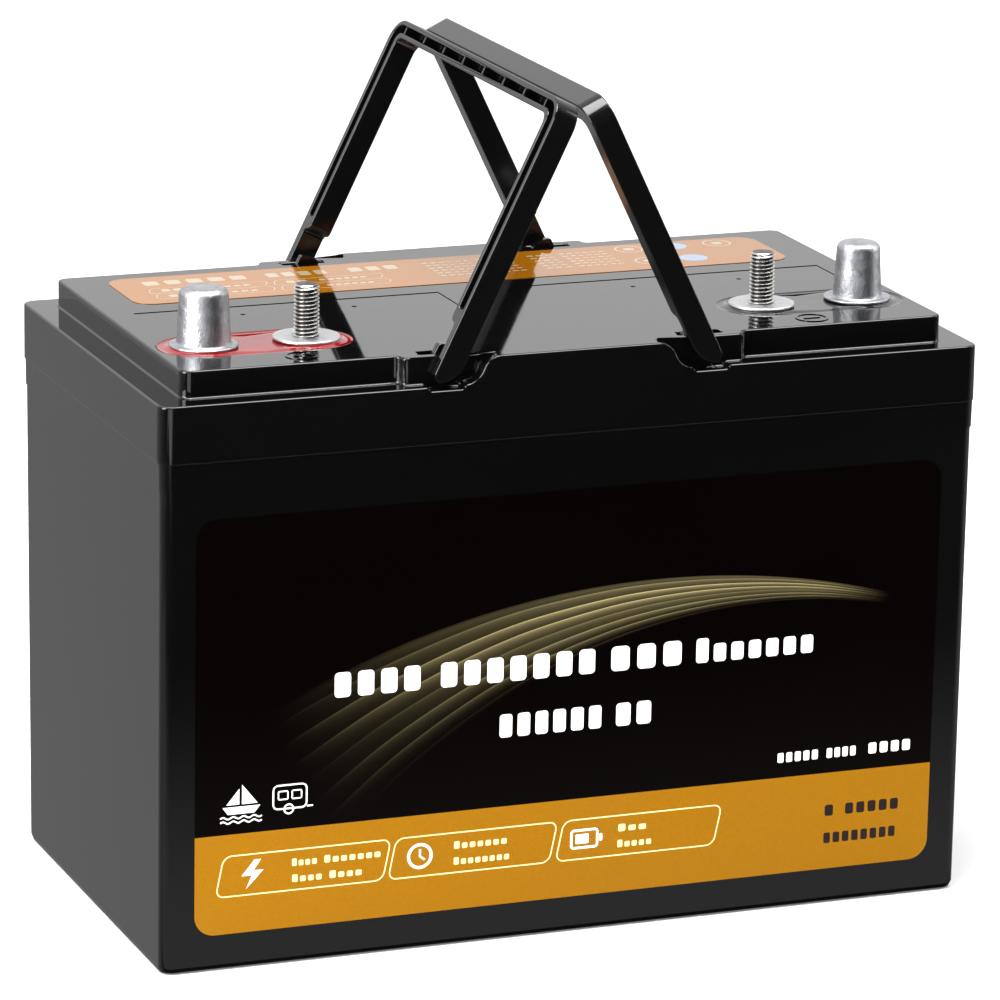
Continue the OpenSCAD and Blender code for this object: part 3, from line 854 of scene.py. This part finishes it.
def box_symbols(bm, sheet):
    """A flash, a clock and a cell, one for each of the three boxes on the gold band."""
    patch(bm, sheet, [
        (-119.6, 40.4), (-124.4, 34.6), (-120.6, 34.6), (-122.6, 29.8),
        (-116.2, 36.4), (-119.9, 36.4), (-117.2, 40.4)])
    ribbon(bm, sheet, round_path(-57.5, 35.1, 4.3), 1.1)
    ribbon(bm, sheet, [(-57.5, 37.6), (-57.5, 35.0), (-55.6, 33.6)], 0.8, closed=False)
    ribbon(bm, sheet, rounded_box(0.5, 10.5, 31.8, 38.4, 1.0), 0.9)
    patch(bm, sheet, rounded_box(11.3, 12.5, 33.7, 36.5, 0.4))
    patch(bm, sheet, rounded_box(2.1, 7.2, 33.3, 36.9, 0.4))


def add_prints(name, bm, ink):
    add_piece(name, bm, [ink], sharp=30)


front = Sheet("front_label", Vector((0, -1, 0)))
roof = Sheet("top_label", Vector((0, 0, 1)))
deck = Sheet("cover", Vector((0, 0, 1)))

bm = bmesh.new()
for left, right, count in ((-91.7, -57, 4), (-51.9, 9.4, 7), (12.8, 43, 3)):
    word(bm, front, left, right, 97.2, 106.4, count)
word(bm, front, 46.2, 94.1, 97.2, 106.4, 7, tall=1)
for left, right, count in ((-29, 12, 6), (15.5, 31.4, 2)):
    word(bm, front, left, right, 76.4, 85, count)
for left, right, top, count in ((80, 97, 59.9, 5), (99.5, 112, 59.9, 4), (116, 134, 60.4, 4)):
    word(bm, front, left, right, 56.2, top, count)
sailing_boat(bm, front)
touring_caravan(bm, front)
box_symbols(bm, front)
add_prints("front_label_print_white", bm, white_ink)

bm = bmesh.new()
for left, right in ((-132.5, -70), (-68, -6.5), (-4, 57.5)):
    ribbon(bm, front, rounded_box(left, right, 27.5, 42.5, 3, slant=0.2), 0.5)
for left, right, count in ((-106, -96, 4), (-94, -72, 7), (-45, -24, 7), (18, 30, 3)):
    word(bm, front, left, right, 36.4, 39.2, count, tall=1)
for left, right, count in ((-106, -94, 4), (-92, -79, 4), (-45, -23, 8), (18, 32, 5)):
    word(bm, front, left, right, 30.4, 33.2, count, tall=1)
add_prints("front_label_print_pale", bm, pale_ink)

bm = bmesh.new()
word(bm, front, 99.3, 104, 33.9, 38.1, 1)
word(bm, front, 107.5, 130, 33.9, 38.1, 5)
word(bm, front, 99.3, 129, 23.4, 27.4, 8)
add_prints("front_label_print_dark", bm, dark_ink)

bm = bmesh.new()
for left, right, count in ((-118, -76, 5), (-70, -45, 4), (-38, -17, 3)):
    word(bm, roof, left, right, 53, 59.5, count)
for left, right in ((-118, -73), (-70, -28)):
    for low in (40.5, 31.5):
        ribbon(bm, roof, rounded_box(left, right, low, low + 7.5, 2.4, slant=0.3), 0.4)
        word(bm, roof, left + 4, left + 13, low + 2, low + 5.6, 2)
        word(bm, roof, left + 17, right - 6, low + 2.4, low + 5.2, 6, tall=1)
for row in range(6):
    for left, right, count in ((-8, 12, 6), (14, 27, 4), (34, 45, 3), (47, 66, 6)):
        low = 57.5 - row * 4.2
        word(bm, roof, left, right, low, low + 1.5, count, tall=2)
for u, v in ((76, 58.5), (76, 38), (112, 58.5)):
    ribbon(bm, roof, round_path(u, v, 5.2), 0.8)
    patch(bm, roof, round_path(u, v, 2.2))
add_prints("top_label_print_cream", bm, roof_ink)

bm = bmesh.new()
for u, v in ((94, 58.5), (94, 38)):
    patch(bm, roof, round_path(u, v, 5.4))
add_prints("top_label_print_blue", bm, blue_ink)

MARK_X = 97
MARK_Y = -65.3
MARK_R = 5.6


def mark_line(bm, path, width, closed=False):
    ribbon(bm, deck, path, width, closed, MARK_LOW, MARK_HIGH)


for sign, mark_x in (("positive", -MARK_X), ("negative", MARK_X)):
    bm = bmesh.new()
    mark_line(bm, round_path(mark_x, MARK_Y, MARK_R, 56), 0.9, closed=True)
    mark_line(bm, [(mark_x - 3, MARK_Y), (mark_x + 3, MARK_Y)], 1.1)
    if sign == "positive":
        for way in (-1, 1):
            mark_line(bm, [(mark_x, MARK_Y + way * 0.4), (mark_x, MARK_Y + way * 3)], 1.1)
    add_piece(f"{sign}_mark", bm, [cover_black])


# ---- camera ----

SENSOR = 36.0
FOCAL = 211.44
CAMERA_AZIMUTH = 21.076
CAMERA_ELEVATION = 15.011
CAMERA_ROLL = 0.874
CAMERA_DISTANCE = 2160.4 * MM
TARGET = Vector((2.95, 0.0, 140.27)) * MM

azimuth = math.radians(CAMERA_AZIMUTH)
elevation = math.radians(CAMERA_ELEVATION)
forward = Vector((
    math.sin(azimuth) * math.cos(elevation),
    math.cos(azimuth) * math.cos(elevation),
    -math.sin(elevation)))
camera_data = bpy.data.cameras.new("camera")
camera_data.sensor_width = SENSOR
camera_data.lens = FOCAL
camera_data.clip_end = 50.0
camera = bpy.data.objects.new("camera", camera_data)
bpy.context.scene.collection.objects.link(camera)
camera.location = TARGET - forward * CAMERA_DISTANCE
camera.rotation_mode = "QUATERNION"
roll = Quaternion((0, 0, 1), math.radians(CAMERA_ROLL))
camera.rotation_quaternion = forward.to_track_quat("-Z", "Y") @ roll
bpy.context.scene.camera = camera
bpy.context.scene.view_settings.view_transform = "Standard"


# ---- floor and light ----

FLOOR_Z = -0.05 * MM
GLOW_Z = -0.03 * MM
GLOW_X = (-0.6, 1.0)
GLOW_Y = (-0.75, -0.086)


def add_stage(name, bm, look, z):
    """A plane of the studio, which isn't part of the battery."""
    mesh = bpy.data.meshes.new(name)
    bm.to_mesh(mesh)
    bm.free()
    mesh.materials.append(look.material)
    obj = bpy.data.objects.new(name, mesh)
    obj.location.z = z
    bpy.context.scene.collection.objects.link(obj)
    return obj


def area_light(name, at, aim, size, power):
    data = bpy.data.lights.new(name, "AREA")
    data.energy = power
    data.shape = "RECTANGLE"
    data.size, data.size_y = size
    light = bpy.data.objects.new(name, data)
    bpy.context.scene.collection.objects.link(light)
    light.location = at
    light.rotation_mode = "QUATERNION"
    light.rotation_quaternion = (Vector(aim) - Vector(at)).to_track_quat("-Z", "Y")


bm = bmesh.new()
bmesh.ops.create_grid(bm, x_segments=2, y_segments=2, size=30)
floor_look = Shader("floor_look")
floor_look.set(Base_Color=rgb(0.96, 0.96, 0.96), Roughness=1.0, Specular_IOR_Level=0.0)
floor = add_stage("floor", bm, floor_look, FLOOR_Z)
floor.visible_glossy = False

# The lit floor close to the front face, seen only in its gloss.
bm = bmesh.new()
glow_corners = [(GLOW_X[i], GLOW_Y[j]) for i, j in ((0, 0), (1, 0), (1, 1), (0, 1))]
bm.faces.new([bm.verts.new((x, y, 0.0)) for x, y in glow_corners])
glow_look = Shader("floor_glow_look")
glow_place = glow_look.parts(glow_look.place)
near = glow_look.span(glow_place["Y"], -0.42, -0.09, 0.0, 0.5, smooth=True)
far = glow_look.span(glow_place["Y"], -0.75, -0.45, smooth=True)
right = glow_look.span(glow_place["X"], 0.2, 0.7, 0.0, 0.2, smooth=True)
glow_look.set(
    Base_Color=rgb(0, 0, 0),
    Specular_IOR_Level=0.0,
    Emission_Color=rgb(1, 1, 1),
    Emission_Strength=glow_look.math("ADD", near, glow_look.math("MULTIPLY", right, far)),
)
glow = add_stage("floor_glow", bm, glow_look, GLOW_Z)
for kind in ("camera", "diffuse", "transmission", "volume_scatter", "shadow"):
    setattr(glow, f"visible_{kind}", False)

# A pale studio: white on every side for the floor and the backdrop, and for the gloss a bright wall
# behind, a darker room in front, a screen at the front left and a panel overhead.
world = bpy.data.worlds.new("studio")
bpy.context.scene.world = world
world.use_nodes = True
sky = NodeTree(world.node_tree)
sky.tree.nodes.clear()
direction = sky.node("ShaderNodeTexCoord").outputs["Generated"]
ways = sky.parts(direction)
room = sky.math(
    "MULTIPLY",
    sky.span(ways["Y"], -0.55, 0.55, 0.04, 1.12, smooth=True),
    sky.span(ways["Z"], -0.12, 0.06, 0.4, 1.0, smooth=True))


def sky_patch(towards, edge, core, strength):
    """A round bright patch of the sky round one direction."""
    facing = sky.node("ShaderNodeVectorMath", {0: direction, 1: towards}, operation="DOT_PRODUCT")
    return sky.span(facing.outputs["Value"], edge, core, 0.0, strength, smooth=True)


screen = sky_patch((-0.34, -0.93, -0.14), 0.93, 0.975, 1.7)
panel = sky_patch((0.26, -0.24, 0.93), 0.9, 0.96, 12.0)
in_gloss = sky.math("ADD", sky.math("ADD", room, screen), panel)
gloss_sky = sky.node("ShaderNodeBackground", {"Color": rgb(1, 1, 1), "Strength": in_gloss})
open_sky = sky.node("ShaderNodeBackground", {"Color": rgb(1, 1, 1), "Strength": 1.05})
is_gloss = sky.node("ShaderNodeLightPath").outputs["Is Glossy Ray"]
both = sky.node("ShaderNodeMixShader", {0: is_gloss, 1: open_sky.outputs[0], 2: gloss_sky.outputs[0]})
sky.node("ShaderNodeOutputWorld", {"Surface": both.outputs[0]})

middle = Vector((0, 0, 0.15))
area_light("left_strip", (-1.15, -0.42, 0.55), middle, (0.7, 1.3), 36)
area_light("overhead", (-0.25, -0.15, 1.5), middle, (0.9, 0.6), 22)
area_light("right_strip", (1.3, -0.25, 0.6), middle, (0.14, 1.2), 6)
